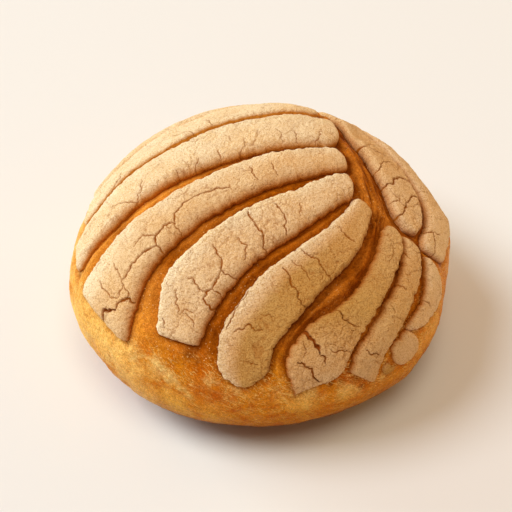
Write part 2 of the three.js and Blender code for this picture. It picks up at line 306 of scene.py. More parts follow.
# Patches of the bare crust, by field: (right, back, share, spread).
CRUST_PATCHES = {
    "gold": [
        (-54, -27, 0.7, 8), (-52, -38, 0.95, 9), (-45, -47, 0.95, 7), (-41, -52, 0.8, 6),
        (-34, -54, 0.55, 4), (-27.5, -57.5, 0.8, 3), (-47, -60, 0.8, 11), (-65, -30, 0.9, 14),
        (-31, -68, 0.7, 9), (-18, -73, 0.5, 8), (-75, -5, 0.8, 24), (-80, 25, 0.7, 24), (5, -66, 0.35, 5),
        (14, -66.5, 0.65, 6), (28.7, -62.4, 0.6, 4), (20, -66, 0.3, 4), (42, -57, 0.2, 4),
        (57, -32, 0.5, 8), (52, -42, 0.35, 7), (-30, 72, 0.6, 26), (50, 60, 0.5, 26), (74, 6, 0.4, 18),
    ],
    "lit": [
        (-28, -31, 0.7, 6), (-33, -41, 1.0, 7), (-16, -19, 0.4, 5), (-19.6, 1, 0.7, 6), (-34, -4, 1.0, 8),
        (-47, -13, 0.9, 8), (-28, -2, 1.0, 6), (30.7, -4.6, 0.5, 4), (-50, 10, 0.8, 10), (-42, 3, 0.8, 7),
        (-12, 10, 0.5, 7), (28, -20, 0.25, 6), (19, -37, 0.25, 7), (8, -49, 0.3, 4), (32, -41, 0.9, 5),
        (37, -27, 0.3, 4), (35, -9.5, 0.6, 3.5), (41, -13, 0.7, 3.5), (47, -16.5, 0.5, 4),
    ],
    "orange": [
        (-22, -49, 0.7, 4), (-18, -50, 1.0, 4.5), (-18, -56, 0.9, 5), (-19, -62, 0.8, 4),
        (-15, -64, 1.0, 3.5), (-33.9, -45.7, 0.6, 2), (-5.6, -61.9, 0.7, 1.4), (-3.2, -69.2, 0.7, 1.6),
        (27.5, -57, 1.0, 4), (35, -59, 0.8, 3.5), (20, -64, 0.5, 2.5), (-11, -66, 0.6, 5),
        (40, -57, 0.5, 4),
    ],
    "shade": [
        (0, -28, 0.3, 7), (-16, -47, 0.6, 4), (-19, -49.6, 0.6, 2.4), (22.5, -60.6, 0.8, 1.4),
        (25.5, -59.4, 0.7, 1.2), (34.6, -59.8, 0.7, 1.3), (31, -57.6, 0.5, 1.6),
        (-20.3, -50.7, 0.75, 1.7), (-18.6, -53, 0.45, 1.6),
    ],
    "pale": [
        (-37.8, -46.8, 0.5, 2.0), (-31.4, -51.4, 0.8, 1.6), (-30.2, -54, 0.95, 1.7),
        (-28.8, -56.7, 0.95, 1.8), (-26.4, -60.4, 0.6, 1.4), (-24, -63.8, 0.6, 1.2), (-53, -46, 0.7, 3.0),
        (-50.5, -52.2, 0.5, 2.4), (-59.5, -35.5, 0.6, 2.6), (-48.4, -46.1, 0.4, 2.4),
        (16.5, -64, 0.6, 2.6), (17, -69, 0.4, 2.2), (28.5, -63, 0.6, 2.8), (33, -62, 0.4, 2.0),
        (-7.5, -63, 0.4, 1.5), (-15.7, -59, 0.45, 1.8), (41.5, -55.2, 0.8, 1.3), (39, -57.2, 0.5, 1.0),
    ],
    # Where sugar grains lie, painted as pale glints.
    "sugar_glints": [
        (-33, -26, 0.9, 12), (-20, -44, 0.9, 7), (-30, -8, 0.6, 9), (-48, 2, 0.7, 8), (-8, -34, 0.6, 7),
        (-15, -52, 0.9, 5), (29, -4, 0.6, 6), (-36, -50, 0.6, 7), (37, -58, 0.5, 3), (-27, -50, 0.8, 7),
        (-16, -19, 0.6, 8), (-45, -45, 0.5, 8), (20, -37, 0.4, 8), (5, -66, 0.4, 10),
    ],
}

# ---- Number patterns, all seeded ----

BIT_MIXERS = (np.uint32(0x9E3779B1), np.uint32(0x85EBCA77))  # odd numbers that spread a cell's bits


def smooth_step(value, low, high):
    share = np.clip((value - low) / (high - low), 0.0, 1.0)
    return share * share * (3.0 - 2.0 * share)


def fade_out(value, low, high):
    return 1.0 - smooth_step(value, low, high)


def bell(away):
    return np.exp(-away ** 2)


def side_by_side(*parts):
    return np.stack(parts, axis=1)


def lengths(vectors):
    return np.linalg.norm(vectors, axis=1)


def lattice_value(cell, seed):
    """One number from 0 to 1 for each whole-number cell."""
    mixed = np.full(cell.shape[:-1], seed, dtype=np.uint32)
    for axis in range(cell.shape[-1]):
        mixed = (mixed ^ cell[..., axis].astype(np.uint32)) * BIT_MIXERS[0]
        mixed ^= mixed >> np.uint32(15)
        mixed *= BIT_MIXERS[1]
        mixed ^= mixed >> np.uint32(13)
    return mixed / 2.0 ** 32


def smooth_noise(points, size, seed):
    """Smooth noise from -1 to 1 whose lumps are about `size` wide."""
    scaled = points / size
    base = np.floor(scaled).astype(np.int64)
    share = scaled - base
    share = share * share * (3.0 - 2.0 * share)
    total = np.zeros(len(points))
    for corner in itertools.product((0, 1), repeat=points.shape[1]):
        weight = np.prod(np.where(corner, share, 1.0 - share), axis=1)
        total += weight * lattice_value(base + np.array(corner), seed)
    return 2.0 * total - 1.0


def layered_noise(points, size, seed, layers=3, falloff=0.5):
    """The same with finer layers of noise on it, each half the size of the one before."""
    total = np.zeros(len(points))
    for layer in range(layers):
        total += falloff ** layer * smooth_noise(points, size / 2.0 ** layer, seed + 11 * layer)
    return total


def roughness(points, kinds):
    """A rough surface's height, from kinds of noise as (height, size, seed, layers)."""
    return sum(height * layered_noise(points, size, seed, layers) for height, size, seed, layers in kinds)


def cell_pattern(points, size, seed):
    """Distances to the nearest and second nearest cell centre, and the nearest cell's own number."""
    scaled = points / size
    base = np.floor(scaled).astype(np.int64)
    nearest, second = np.full((2, len(points)), np.inf)
    number = np.zeros(len(points))
    for step in itertools.product((-1, 0, 1), repeat=points.shape[1]):
        cell = base + np.array(step)
        jitter = [lattice_value(cell, seed + axis) for axis in range(points.shape[1])]
        away = lengths(cell + side_by_side(*jitter) - scaled)
        closer = away < nearest
        second = np.where(closer, nearest, np.minimum(second, away))
        number = np.where(closer, lattice_value(cell, seed + 7), number)
        nearest = np.where(closer, away, nearest)
    return nearest * size, second * size, number


# ---- Curves in the rolled-out map ----


def walk(path):
    return np.concatenate([[0.0], np.cumsum(lengths(np.diff(path, axis=0)))])


def point_at(path, walked, wanted):
    return side_by_side(*[np.interp(wanted, walked, path[:, axis]) for axis in range(2)])


def even_path(path, count):
    walked = walk(path)
    return point_at(path, walked, np.linspace(0.0, walked[-1], count))


def smooth_curve(points, count):
    """A centripetal Catmull-Rom curve through the points, as `count` evenly spaced points."""
    knots = np.array(points, dtype=float)
    padded = np.vstack([2 * knots[0] - knots[1], knots, 2 * knots[-1] - knots[-2]])
    runs = np.diff(padded, axis=0)
    gaps = lengths(runs)[:, None] ** 0.5
    over = (padded[2:] - padded[:-2]) / (gaps[:-1] + gaps[1:])
    slopes = runs[:-1] / gaps[:-1] - over + runs[1:] / gaps[1:]
    leaving = slopes[:-1] * gaps[1:-1]
    arriving = slopes[1:] * gaps[1:-1]
    share = np.linspace(0.0, 1.0, 40)[:, None]
    pieces = []
    for start, end, leave, arrive in zip(knots, knots[1:], leaving, arriving):
        cubic = 2 * start - 2 * end + leave + arrive
        square = -3 * start + 3 * end - 2 * leave - arrive
        pieces.append(cubic * share ** 3 + square * share ** 2 + leave * share + start)
    return even_path(np.vstack(pieces), count)


def headings(path):
    """The unit direction of a path at each of its points."""
    run = np.gradient(path, axis=0)
    return run / np.maximum(lengths(run), TINY)[:, None]


def leftwards(path):
    """The unit direction to the left of a path at each of its points."""
    heading = headings(path)
    return side_by_side(-heading[:, 1], heading[:, 0])


def near_path(flat, path, reach):
    """Of the points within reach of a path: which they are, their distance from it, their walk along
    it, the side they lie on (1 or -1), and how far that spot is from the path's nearer end."""
    close = np.all((flat > path.min(axis=0) - reach) & (flat < path.max(axis=0) + reach), axis=1)
    spots = flat[close]
    distance = np.full(len(spots), np.inf)
    along, side = np.zeros((2, len(spots)))
    walked = walk(path)
    for start, end, before in zip(path[:-1], path[1:], walked):
        run = end - start
        length = max(np.linalg.norm(run), TINY)
        offset = spots - start
        share = np.clip(offset @ run / length ** 2, 0.0, 1.0)
        away = lengths(offset - share[:, None] * run)
        closer = away < distance
        distance = np.where(closer, away, distance)
        along = np.where(closer, before + share * length, along)
        side = np.where(closer, np.sign(run[0] * offset[:, 1] - run[1] * offset[:, 0]), side)
    return close, distance, along, side, np.minimum(along, walked[-1] - along)


# ---- The bun's surface ----


def walk_section(steps=1500):
    """The half section over the ribs, from the top to the edge of the foot."""
    foot_angle = -math.asin((WIDEST_HEIGHT / BELLY_DROP) ** (BELLY_FULLNESS / 2))
    angle = np.linspace(math.pi / 2, foot_angle, steps + 1)
    above = angle >= 0
    power = 2 / np.where(above, DOME_FULLNESS, BELLY_FULLNESS)
    reach = np.where(above, DOME_RISE, -BELLY_DROP)
    radius = BUN_RADIUS * np.maximum(np.cos(angle), 0) ** power
    height = WIDEST_HEIGHT + reach * np.abs(np.sin(angle)) ** power
    return side_by_side(radius, height)


SECTION = walk_section()
SECTION_HEADING = headings(SECTION)
WALKED = walk(SECTION)
SECTION_LENGTH = WALKED[-1]


def spot_bell(flat, right, back, spread):
    return bell(np.hypot(flat[:, 0] - right, flat[:, 1] - back) / spread)


def swell_at(flat):
    total = np.zeros(len(flat))
    for right, back, rise, spread in DOUGH_SWELLS:
        total += rise * spot_bell(flat, right, back, spread)
    return total * smooth_step(SECTION_LENGTH - lengths(flat), 0.0, FOOT_MARGIN)


def on_surface(flat, lift):
    """Points of the rolled-out map in space, lifted along the outward direction."""
    distance = lengths(flat)
    turn = np.arctan2(flat[:, 1], flat[:, 0])
    radius, height = point_at(SECTION, WALKED, distance).T
    out_up, down = point_at(SECTION_HEADING, WALKED, distance).T
    outline = 1.0
    for lobes, size, degrees in OUTLINE_SWELLS:
        outline = outline + size * np.cos(lobes * (turn - math.radians(degrees)))
    rise = lift + swell_at(flat)
    reach = radius * outline - rise * down
    right = AXIS[0] + reach * np.cos(turn)
    back = AXIS[1] + reach * np.sin(turn)
    return side_by_side(right, back, height + rise * out_up)


def dough_depth(distance):
    return PASTE_DEPTH * fade_out(distance, PASTE_THINS_FROM, PASTE_ENDS_AT)


def paste_lump(flat):
    wave = 2 * math.pi / PASTE_LUMP_SPACING
    right, back = flat.T
    wide = np.sin(wave * (right + 0.35 * back)) * np.sin(wave * (0.9 * back - 0.2 * right))
    narrow = np.sin(wave * (1.7 * back - right) + 1.3) * np.sin(1.3 * wave * right + 0.6)
    return (wide + narrow) / 2


# ---- Meshes ----


def grid_faces(rows, columns, wrap=False):
    """Quads over a grid whose point (row, column) has the number row * columns + column."""
    column = np.arange(columns if wrap else columns - 1)
    following = (column + 1) % columns
    start = np.arange(rows - 1)[:, None] * columns
    corners = [start + column, start + following, start + columns + following, start + columns + column]
    return np.stack(corners[::-1], axis=-1).reshape(-1, 4)


def fan(tip, row):
    """Triangles from one point to each pair of neighbours in a row of points."""
    return side_by_side(row[:-1], row[1:], np.full(len(row) - 1, tip))


def add_object(name, data):
    thing = bpy.data.objects.new(name, data)
    bpy.context.scene.collection.objects.link(thing)
    return thing


def make_piece(name, points, faces, material, fields, replaced):
    """A mesh object from points in millimetres and arrays of faces, each with faces of one size."""
    mesh = bpy.data.meshes.new(name)
    sizes = np.concatenate([np.full(len(part), part.shape[1]) for part in faces])
    starts = np.cumsum(sizes) - sizes
    corners = np.concatenate([part.ravel() for part in faces])
    mesh.vertices.add(len(points))
    mesh.vertices.foreach_set("co", (points * MM).astype(np.float32).ravel())
    mesh.loops.add(len(corners))
    mesh.loops.foreach_set("vertex_index", corners.astype(np.int32))
    mesh.polygons.add(len(sizes))
    mesh.polygons.foreach_set("loop_start", starts.astype(np.int32))
    mesh.polygons.foreach_set("use_smooth", np.ones(len(sizes), dtype=bool))
    mesh.update(calc_edges=True)
    for field, values in fields.items():
        mesh.attributes.new(field, "FLOAT", "POINT").data.foreach_set("value", values.astype(np.float32))
    mesh.materials.append(material)
    piece = add_object(name, mesh)
    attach(piece, "root")
    if replaced:
        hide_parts(replaced)


# ---- Materials ----


def colour(red, green, blue):
    """A display colour from 0 to 255 as the linear colour that Blender takes."""
    shares = np.array([red, green, blue]) / 255.0
    linear = np.where(shares <= 0.04045, shares / 12.92, ((shares + 0.055) / 1.055) ** 2.4)
    return (*linear.tolist(), 1.0)


class Nodes:
    """Short calls for the few kinds of node that the materials use. A value is a number, a colour,
    another node's output or the name of one of the mesh's fields."""

    def __init__(self, name):
        self.material = bpy.data.materials.new(name)
        self.material.use_nodes = True
        self.tree = self.material.node_tree
        self.shader = self.tree.nodes["Principled BSDF"]
        metres = self.add("TexCoord").outputs["Object"]
        self.place = self.add("VectorMath", {0: metres, 1: (1.0 / MM,) * 3}, operation="MULTIPLY").outputs[0]

    def put(self, node, values):
        for key, value in values.items():
            if isinstance(value, str):
                value = self.add("Attribute", attribute_name=value).outputs["Fac"]
            if isinstance(value, bpy.types.NodeSocket):
                self.tree.links.new(value, node.inputs[key])
            else:
                node.inputs[key].default_value = value

    def add(self, kind, values=None, **settings):
        node = self.tree.nodes.new("ShaderNode" + kind)
        for name, setting in settings.items():
            setattr(node, name, setting)
        self.put(node, values or {})
        return node

    def stretched(self, name, long, wide):
        """A place for noise in cells so long and wide, along and across the fields' direction."""
        along = self.math("DIVIDE", name + "_along", long)
        across = self.math("DIVIDE", name + "_across", wide)
        return self.add("CombineXYZ", {0: along, 1: across}).outputs[0]

    def noise(self, size, detail=2.0, roughness=0.5, vector=None, distortion=0.0):
        values = {"Vector": vector or self.place, "Scale": 1.0 / size}
        values.update(Detail=detail, Roughness=roughness, Distortion=distortion)
        return self.add("TexNoise", values).outputs["Fac"]

    def dots(self, size, inner, outer, strength=1.0):
        """Round dots scattered in cells `size` wide, which fade from their inner to outer radius."""
        cells = self.add("TexVoronoi", {"Vector": self.place, "Scale": 1.0 / size})
        return self.ramp(cells.outputs["Distance"], inner, outer, strength, 0.0)

    def math(self, operation, first, second=0.0):
        return self.add("Math", {0: first, 1: second}, operation=operation).outputs[0]

    def times(self, *values):
        return functools.reduce(functools.partial(self.math, "MULTIPLY"), values)

    def plus(self, *values):
        return functools.reduce(functools.partial(self.math, "ADD"), values)

    def ramp(self, value, low, high, start=0.0, end=1.0):
        values = {"Value": value, "From Min": low, "From Max": high, "To Min": start, "To Max": end}
        return self.add("MapRange", values, interpolation_type="SMOOTHSTEP").outputs["Result"]

    def mix(self, share, first, second, blend="MIX"):
        values = {0: share, 6: first, 7: second}
        return self.add("Mix", values, data_type="RGBA", blend_type=blend).outputs[2]

    def tint(self, share, base, tone):
        return self.mix(share, base, tone, "MULTIPLY")

    def paint(self, base, *coats):
        """Coats over a base, each given by its share and its display colour."""
        for share, tone in coats:
            base = self.mix(share, base, colour(*tone))
        return base

    def bump(self, height, distance, strength=1.0):
        values = {"Height": height, "Distance": distance * MM, "Strength": strength}
        return self.add("Bump", values).outputs["Normal"]


def make_paste_material():
    nodes = Nodes("paste")
    blotch = nodes.ramp(nodes.noise(9.0, detail=3.0), 0.35, 0.65)
    base = nodes.mix(blotch, colour(243, 211, 161), colour(248, 225, 184))
    # Sandy grain of mixed tone, with its hollows darker as painted shade and sugar grains paler than the
    # paste, and a few brown pits.
    grain = nodes.noise(0.33, roughness=0.6)
    some = nodes.ramp(nodes.noise(2.6, detail=1.0), 0.48, 0.58)
    base = nodes.paint(
        base,
        (nodes.ramp(grain, 0.36, 0.48, 0.6, 0.0), (196, 144, 78)),
        (nodes.ramp(grain, 0.52, 0.64, 0.0, 0.75), (254, 232, 200)),
        (nodes.times(nodes.dots(1.5, 0.07, 0.15, 0.7), some), (160, 108, 58)),
    )
    # Toasted paste is browner, and the slopes down to the dough are oily and brown; both browns also stand
    # for painted shade where the paste turns from the light.
    toast_and_shade_tone = nodes.mix("toast_and_shade", colour(238, 172, 62), colour(199, 165, 76))
    base = nodes.tint("toast_and_shade", base, toast_and_shade_tone)
    # The slopes: oily brown, with painted shade.
    base = nodes.tint("low", base, colour(212, 155, 70))
    # The cracks are darker for the dough in them and with painted shade, the wide open ones most.
    base = nodes.paint(base, ("crack", (166, 92, 6)), ("open", (150, 70, 10)))
    height = nodes.plus(nodes.times(grain, 0.8), nodes.noise(1.1))
    nodes.put(nodes.shader, {
        "Base Color": base, "Roughness": 0.9, "Specular IOR Level": 0.15, "Normal": nodes.bump(height, 0.5),
    })
    return nodes.material


def make_crust_material():
    nodes = Nodes("crust")
    # The belly runs from amber to gold, with orange patches.
    blotch = nodes.times(nodes.noise(8.0, detail=4.0, roughness=0.6), 0.7)
    golden = nodes.ramp(nodes.plus("gold", blotch), 0.36, 1.2)
    base = nodes.mix(golden, colour(216, 134, 24), colour(251, 194, 104))
    orange = (200, 102, 12)
    patch = nodes.noise(3.0, detail=5.0, roughness=0.65)
    amber = nodes.math("SUBTRACT", 1.0, nodes.times(golden, 0.65))
    base = nodes.paint(
        base,
        (nodes.times(nodes.ramp(patch, 0.5, 0.62, 0.0, 0.7), amber), orange),
        (nodes.ramp(patch, 0.34, 0.48, 0.5, 0.0), (238, 160, 52)),
        ("orange", orange),
    )
    # Between the ribs it is browner, dark by their sides and where little light reaches it.
    blend = nodes.ramp(nodes.noise(2.4, detail=3.0), 0.35, 0.7)
    deep = nodes.mix(blend, colour(146, 74, 8), colour(182, 98, 16))
    base = nodes.mix("groove", base, nodes.paint(deep, ("lit", (226, 144, 54))))
    # Along the channel the skin is drawn out into light and dark strands.
    drawn = nodes.stretched("channel", 7.0, 0.8)
    strands = nodes.noise(1.0, detail=3.0, roughness=0.6, vector=drawn, distortion=0.3)
    strand_tone = nodes.mix(nodes.ramp(strands, 0.38, 0.66), (0.5, 0.36, 0.2, 1.0), (1.0, 1.0, 1.0, 1.0))
    base = nodes.tint("channel", base, strand_tone)
    base = nodes.paint(base, ("strand", (220, 136, 48)), ("shade", (118, 54, 4)))
    # Thin stretched skin is pale, in fine lines and patches.
    mottle = nodes.ramp(nodes.noise(0.7, detail=3.0, roughness=0.7), 0.35, 0.6, 0.25, 1.0)
    drawn = nodes.stretched("belly", 4.5, 0.9)
    threads = nodes.noise(1.0, roughness=0.6, vector=drawn, distortion=0.5)
    threads = nodes.math("ABSOLUTE", nodes.math("SUBTRACT", threads, 0.5))
    some = nodes.ramp(nodes.noise(3.5), 0.36, 0.54)
    threads = nodes.times(nodes.ramp(threads, 0.008, 0.035, 1.0, 0.0), some, "threads")
    base = nodes.paint(base, (nodes.times("pale", mottle), (244, 208, 136)), (threads, (248, 202, 120)))
    base = nodes.tint("low_belly", base, colour(254, 248, 190))
    # The foot is browned by baking and darkened with painted shade, most at the front right.
    base = nodes.paint(base, ("foot", (112, 52, 4)))
    # Specks, darker and lighter than the crust.
    blot = nodes.ramp(nodes.noise(0.9, detail=4.0, roughness=0.65), 0.38, 0.62)
    base = nodes.tint(1.0, base, nodes.mix(blot, (0.9, 0.86, 0.74, 1.0), (1.08, 1.1, 1.1, 1.0)))
    speck = nodes.noise(0.34, roughness=0.6)
    speck_tone = nodes.mix(nodes.ramp(speck, 0.36, 0.64), (0.84, 0.78, 0.66, 1.0), (1.18, 1.24, 1.3, 1.0))
    base = nodes.tint(1.0, base, speck_tone)
    # Sugar grains, with painted glints.
    some = nodes.ramp(nodes.noise(1.3), 0.46, 0.56)
    glints = nodes.times(nodes.dots(0.75, 0.15, 0.26), some, "sugar_glints")
    base = nodes.paint(base, (glints, (255, 212, 146)))
    fine = nodes.times(nodes.noise(0.7, detail=4.0, roughness=0.6), 0.7)
    coarse = nodes.noise(2.4, detail=3.0)
    height = nodes.plus(fine, coarse, nodes.times(speck, 0.5), nodes.times(threads, 0.25))
    nodes.put(nodes.shader, {
        "Base Color": base,
        "Roughness": nodes.ramp(nodes.noise(3.0, detail=3.0), 0.35, 0.65, 0.28, 0.45),
        "Specular IOR Level": 0.03,
        "Specular Tint": (1.0, 0.6, 0.2, 1.0),
        "Normal": nodes.bump(height, 0.4, 0.9),
    })
    return nodes.material


# ---- The ribs' meshes ----

RIB_SEED_STEP = 1000  # between one rib's seeds and the next one's
RIB_GRID = 0.21  # spacing of their points
EDGE_POINTS = 400
CORNER_ROWS = 14
END_SHOULDER = 2.4  # width over which a rib rounds down to its ends
RIB_FULLNESS = 2.4  # exponent of that curve: 2 is a circle
EDGE_SPREAD = 0.3  # how far the edges stand out beyond the outline given
RIB_SINK = 0.4  # how far a rib reaches into the dough under it
RIB_TUCK = 0.35  # how far the foot of its side lies back under the side
EDGE_WAVE = 0.3  # slow waves in the edges, and their length
EDGE_WAVE_LENGTH = 8.0
EDGE_NICK = 0.31  # small nicks in the edges, and their length
EDGE_NICK_LENGTH = 1.4
CRACK_STEP = 0.3  # length of a crack's short straight runs
CRACK_JAG = 0.4  # how far it strays
CRACK_REACH = 3.0  # beyond which a crack changes nothing
CRACK_HALF = 0.33  # half a crack's width at its bottom, as a share of the width given
PLATES = ((6.0, 400), (2.6, 430))  # size and seed of the plates between hairlines: wide, then fine
PLATE_STEP = 0.06  # between one plate's height and another's
PASTE_ROUGHNESS = [(0.09, 3.0, 410, 3), (0.06, 0.55, 420, 2)]
SLOPE_ROUGHNESS = [(0.12, 1.3, 425, 2)]  # more, on the slopes


def left_edge(rib):
    """Which edge lies on the left of the walk from the hub to the rim: 0 is the first."""
    start = np.array(rib.first[0])
    run = np.array(rib.first[1]) - start
    over = np.array(rib.second[0]) - start
    return int(run[0] * over[1] - run[1] * over[0] > 0)


def rib_edges(rib, seed):
    """Both edges of a rib as many points, made uneven."""
    edges = []
    for side, points in enumerate((rib.first, rib.second)):
        path = smooth_curve(points, EDGE_POINTS)
        place = side_by_side(walk(path), np.full(len(path), 5.0 * side))
        shift = np.full(len(path), EDGE_SPREAD if left_edge(rib) == side else -EDGE_SPREAD)
        shift += EDGE_WAVE * smooth_noise(place, EDGE_WAVE_LENGTH, seed + side)
        shift += EDGE_NICK * layered_noise(place, EDGE_NICK_LENGTH, seed + 20 + side)
        edges.append(path + leftwards(path) * shift[:, None])
    return edges


def row_places(length, corners):
    """Distances of the rows from the hub end: close together where the corners turn."""
    quarter = np.linspace(0.0, math.pi / 2, CORNER_ROWS)
    hub = corners[0] * (1.0 - np.cos(quarter))
    rim = length - corners[1] * (1.0 - np.cos(quarter[::-1]))
    middle = np.linspace(hub[-1], rim[0], max(3, round((rim[0] - hub[-1]) / RIB_GRID)))
    return np.concatenate([hub, middle[1:-1], rim])


def corner_loss(distance, radius):
    """How much a rounded corner takes off the half width at a distance from the end."""
    inside = np.clip(radius - distance, 0.0, radius)
    return radius - np.sqrt(radius ** 2 - inside ** 2)


def shoulder(distance, width):
    share = np.clip(distance / width, 0.0, 1.0)
    return (1.0 - (1.0 - share) ** RIB_FULLNESS) ** (1.0 / RIB_FULLNESS)


def jagged(points, seed):
    """A crack's path, made jagged."""
    path = np.array(points, dtype=float)
    path = even_path(path, max(3, round(walk(path)[-1] / CRACK_STEP) + 1))
    shift = CRACK_JAG * layered_noise(path, 1.2, seed, falloff=0.6)
    shift[[0, -1]] *= 0.3
    return path + leftwards(path) * shift[:, None]


def crack_relief(flat, cracks, seed):
    """Depth of the open cracks at each point, how dark they are there, for the dough in them and painted
    shade, and how far they gape.
    """
    depth, dark, gape = np.zeros((3, len(flat)))
    for number, (width, points) in enumerate(cracks):
        close, distance, _, _, from_end = near_path(flat, jagged(points, seed + number), CRACK_REACH)
        taper = 0.35 + 0.65 * smooth_step(from_end, 0.0, 2.0)
        uneven = 1.0 + 0.8 * smooth_noise(flat[close], 0.9, seed + 50 + number)
        half = CRACK_HALF * width * taper * uneven
        core = fade_out(distance, half * 0.5, half + 0.12)
        lips = bell(distance / (0.4 + 0.4 * width))
        swell = bell(distance / (1.0 + width))
        hollow = 0.06 * lips + 0.08 * width * swell
        darkness = fade_out(distance, half * 0.5, half + 0.14)
        depth[close] = np.maximum(depth[close], (0.14 + 0.6 * width) * core + hollow)
        dark[close] = np.maximum(dark[close], min(1.0, 0.75 + width) * darkness)
        gape[close] = np.maximum(gape[close], 0.8 * smooth_step(width, 0.6, 1.2) * darkness)
    return depth, dark, gape


def hairlines(flat, size, seed):
    """Fine cracks round plates `size` wide: depth and darkness (dough in them and painted shade), fading in
    and out, and plate numbers.
    """
    bends = [layered_noise(flat, 0.3 * size, seed + turn, layers=4, falloff=0.6) for turn in (1, 2)]
    nearest, second, number = cell_pattern(flat + 0.12 * size * side_by_side(*bends), size, seed + 3)
    gap = (second - nearest) / 2
    shown = smooth_step(smooth_noise(flat, 5.0, seed + 4), -0.35, 0.45)
    line = fade_out(gap, 0.03, 0.15) * shown
    valley = bell(gap / 0.4) * shown
    return 0.14 * line + 0.05 * valley, 0.5 * line, number


def rib_plan(rib, edges, length, walked, across):
    """Where a rib's points lie in the map, how full it is by its first and second side and by its
    ends, for points given by their walk from the hub end and their place across, from -1 to 1."""
    ends = shoulder(walked, END_SHOULDER) * shoulder(length - walked, END_SHOULDER)
    hub_bow, rim_bow = rib.bows
    bow = (1.0 - across ** 2) * (rim_bow * (walked / length) ** 3 - hub_bow * (1 - walked / length) ** 3)
    tuck = RIB_TUCK * fade_out(ends, 0.0, 0.5)
    place = (walked + bow + np.where(walked < length - walked, tuck, -tuck)) / length
    first, second = [point_at(edge, np.linspace(0.0, 1.0, len(edge)), place) for edge in edges]
    # Beyond its ends the rib goes on the way its middle line runs there.
    beyond = np.clip(place, None, 0.0) + np.clip(place - 1.0, 0.0, None)
    spine = headings(((edges[0] + edges[1]) / 2)[[0, 4, -5, -1]])
    heading = np.where((place < 0.5)[:, None], spine[0], spine[-1])
    centre = (first + second) / 2 + heading * (beyond * length)[:, None]

    half = lengths(first - second) / 2
    loss = corner_loss(walked, rib.corners[0]) + corner_loss(length - walked, rib.corners[1])
    kept = np.maximum(half - loss, 0.05)
    sides = [shoulder((1.0 + way * across) * kept, width) for way, width in zip((-1, 1), rib.shoulders)]
    tuck = RIB_TUCK * fade_out(sides[0] * sides[1], 0.0, 0.5)
    kept = np.maximum(kept - tuck, 0.03)
    flat = centre + (first - second) / (2 * np.maximum(half, 1e-6))[:, None] * (across * kept)[:, None]
    return flat, sides, ends


def rib_relief(rib, flat, fullness, seed):
    """Height of the crumbly cracked surface over its plain form, and the fields of its cracks, whose
    darkness stands for the dough in them and painted shade.
    """
    depth, dark, gape = crack_relief(flat, rib.cracks, seed + 100)
    wide_depth, wide_dark, plate = hairlines(flat, *PLATES[0])
    fine_depth, fine_dark, _ = hairlines(flat, *PLATES[1])
    surface = PLATE_STEP * (plate - 0.5) + roughness(flat, PASTE_ROUGHNESS)
    surface += roughness(flat, SLOPE_ROUGHNESS) * fade_out(fullness, 0.85, 1.0)
    relief = surface - wide_depth - rib.fine * fine_depth - depth
    dark = np.maximum(dark, np.maximum(wide_dark, 0.8 * rib.fine * fine_dark))
    return relief * smooth_step(fullness, 0.15, 0.6), {"crack": dark, "open": gape}


def rib_colours(rib, sides, ends, share, across):
    """How oily and brown the slopes are, and how browned by baking a rib is at a share of its length; both
    also carry painted shade where the paste turns from the light.
    """
    # The slopes and the rib's ends are browner: oily paste, and painted shade where they turn from the
    # light.
    low = rib.stain_and_shade[0] * fade_out(sides[0], 0.35, 0.97) + rib.stain_and_shade[1] * fade_out(sides[1], 0.35, 0.97)
    low = np.minimum(low + 0.35 * fade_out(ends, 0.3, 0.9), 1.0)
    # Toast on each side, with painted shade on the side turned from the light.
    toast_and_shade = rib.toast_and_shade[0] + (rib.toast_and_shade[1] - rib.toast_and_shade[0]) * smooth_step(0.5 - across / 2, 0.03, 0.5)
    toast_and_shade *= 0.8 + 0.2 * smooth_step(share, 0.0, 0.5)
    toast_and_shade *= 1.0 + (rib.rim_toast_and_shade - 1.0) * smooth_step(share, 0.5, 0.95)
    return {"low": low, "toast_and_shade": toast_and_shade}


def rib_faces(rows, columns):
    """A rib's skin, its underside between the two feet of the skin, and a fan at each end."""
    starts = np.arange(rows) * columns
    ends = starts + columns - 1
    under = side_by_side(ends[:-1], ends[1:], starts[1:], starts[:-1])
    row = np.arange(1, columns)
    last = starts[-1]
    return [grid_faces(rows, columns), under, fan(0, row), fan(last, (last + row)[::-1])]


def make_rib(name, rib, seed, material):
    edges = rib_edges(rib, seed)
    length = (walk(edges[0])[-1] + walk(edges[1])[-1]) / 2
    rows = row_places(length, rib.corners)
    spread = np.linspace(-1.0, 1.0, max(9, round(lengths(edges[0] - edges[1]).max() / RIB_GRID)))
    spread = 0.45 * spread + 0.55 * np.sin(spread * math.pi / 2)
    walked, across = [part.ravel() for part in np.meshgrid(rows, spread, indexing="ij")]
    flat, sides, ends = rib_plan(rib, edges, length, walked, across)
    fullness = sides[0] * sides[1] * ends

    distance = lengths(flat)
    ridge = RIM_LIP * smooth_step(distance, RIM_LIP_FROM, RIM_LIP_FULL)
    ridge += PASTE_LUMP * (paste_lump(flat) - 0.5)
    underside = -dough_depth(distance) - RIB_SINK
    relief, fields = rib_relief(rib, flat, fullness, seed)
    lift = np.maximum(underside + (ridge - underside) * fullness + relief, underside)
    fields.update(rib_colours(rib, sides, ends, walked / length, across))
    faces = rib_faces(len(rows), len(spread))
    replaced = name if name in RIBS else None
    make_piece(name + "_paste", on_surface(flat, lift), faces, material, fields, replaced)


# ---- The dough's mesh ----

